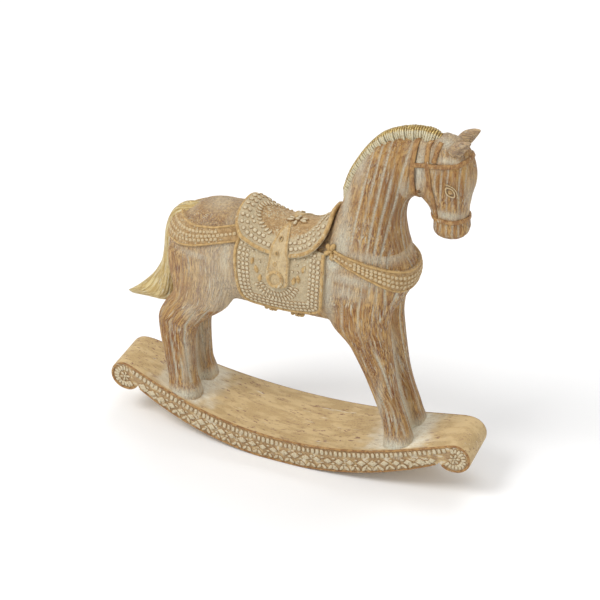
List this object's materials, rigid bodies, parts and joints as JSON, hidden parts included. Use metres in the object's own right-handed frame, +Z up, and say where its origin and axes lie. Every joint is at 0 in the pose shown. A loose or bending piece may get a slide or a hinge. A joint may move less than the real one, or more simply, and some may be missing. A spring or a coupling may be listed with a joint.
{
  "type": "rocking horse figurine",
  "caption": "Saddled horse standing on a curved rocker board with scrolled ends, cast in one piece in the look of whitewashed carved wood.",
  "frame": {"origin": "middle of the box under the figurine, on the flat at the rocker's lowest point", "axes": "+X towards the horse's head, +Y to its left, +Z up"},
  "size_m": [0.2186, 0.0512, 0.2161],
  "materials": {
    "cast_resin": "whitewashed carved wood look, gilt mane and tail"
  },
  "bodies": {
    "root": {"rocking_horse": "cast_resin"}
  },
  "joints": []
}
